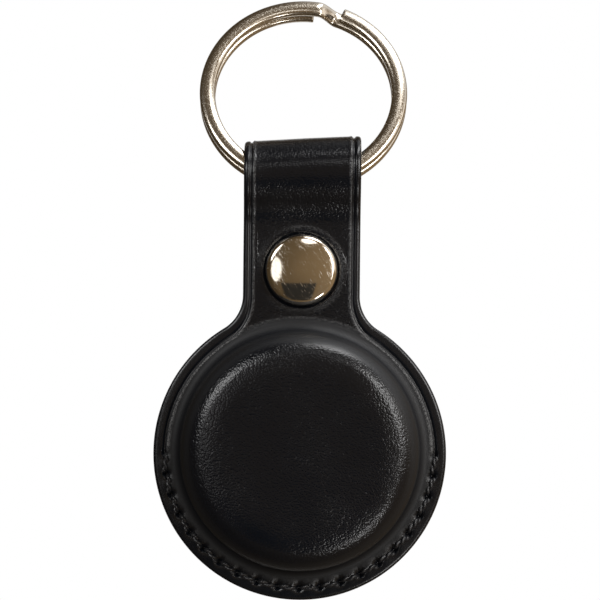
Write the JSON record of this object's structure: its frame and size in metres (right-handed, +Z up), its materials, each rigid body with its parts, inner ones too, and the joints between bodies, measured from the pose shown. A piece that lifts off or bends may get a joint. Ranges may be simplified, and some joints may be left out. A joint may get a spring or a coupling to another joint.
{
  "type": "tracker tag holder",
  "caption": "Black leather holder for a round tracker tag: moulded pocket with a press-snap strap folded over a nickel split key ring.",
  "frame": {"origin": "inside of the split ring's crown, where a hook or a bag loop carries it", "axes": "+Z up along the hanging strap, +X across the strap to the right as seen from the front, +Y towards the back"},
  "size_m": [0.0426, 0.0232, 0.0885],
  "materials": {
    "ring_nickel": "bright nickel plate, faintly warm, on steel wire",
    "black_leather": "near-black grained leather with a satin sheen",
    "black_thread": "black waxed thread",
    "cap_nickel": "polished nickel with fine rub marks",
    "snap_nickel": "nickel plate",
    "rivet_brass": "plain brass, inside the snap",
    "spring_steel": "bare spring wire"
  },
  "bodies": {
    "ring": {"split_ring": "ring_nickel"},
    "holder": {"front_panel": "black_leather", "back_panel": "black_leather", "needle_thread": "black_thread", "bobbin_thread": "black_thread", "snap_cap": "cap_nickel", "cap_rivet": "rivet_brass", "snap_socket": "snap_nickel", "socket_spring": "spring_steel"},
    "tail": {"strap_tail": "black_leather", "snap_stud": "snap_nickel", "stud_rivet": "snap_nickel"},
    "mouth": {"mouth_flap": "black_leather"}
  },
  "joints": [
    {"name": "ring_swing", "type": "hinge", "parent": "ring", "child": "holder", "pos_m": [0, -0.01024, -0.02355], "axis": [1, 0, 0], "range_deg": [-170, 120]},
    {"name": "tail_bend", "type": "hinge", "parent": "holder", "child": "tail", "pos_m": [0, -0.00612, -0.02355], "axis": [1, 0, 0], "range_deg": [0, 100], "stiffness_Nm_per_rad": 0.002, "deforming": ["socket_spring"]},
    {"name": "mouth_bend", "type": "hinge", "parent": "holder", "child": "mouth", "pos_m": [0, -0.01069, -0.06245], "axis": [-1, 0, 0], "range_deg": [0, 35], "stiffness_Nm_per_rad": 0.004}
  ],
  "couplings": [
    {"joint": "mouth_bend", "follows": "tail_bend", "ratio": 0.35}
  ]
}
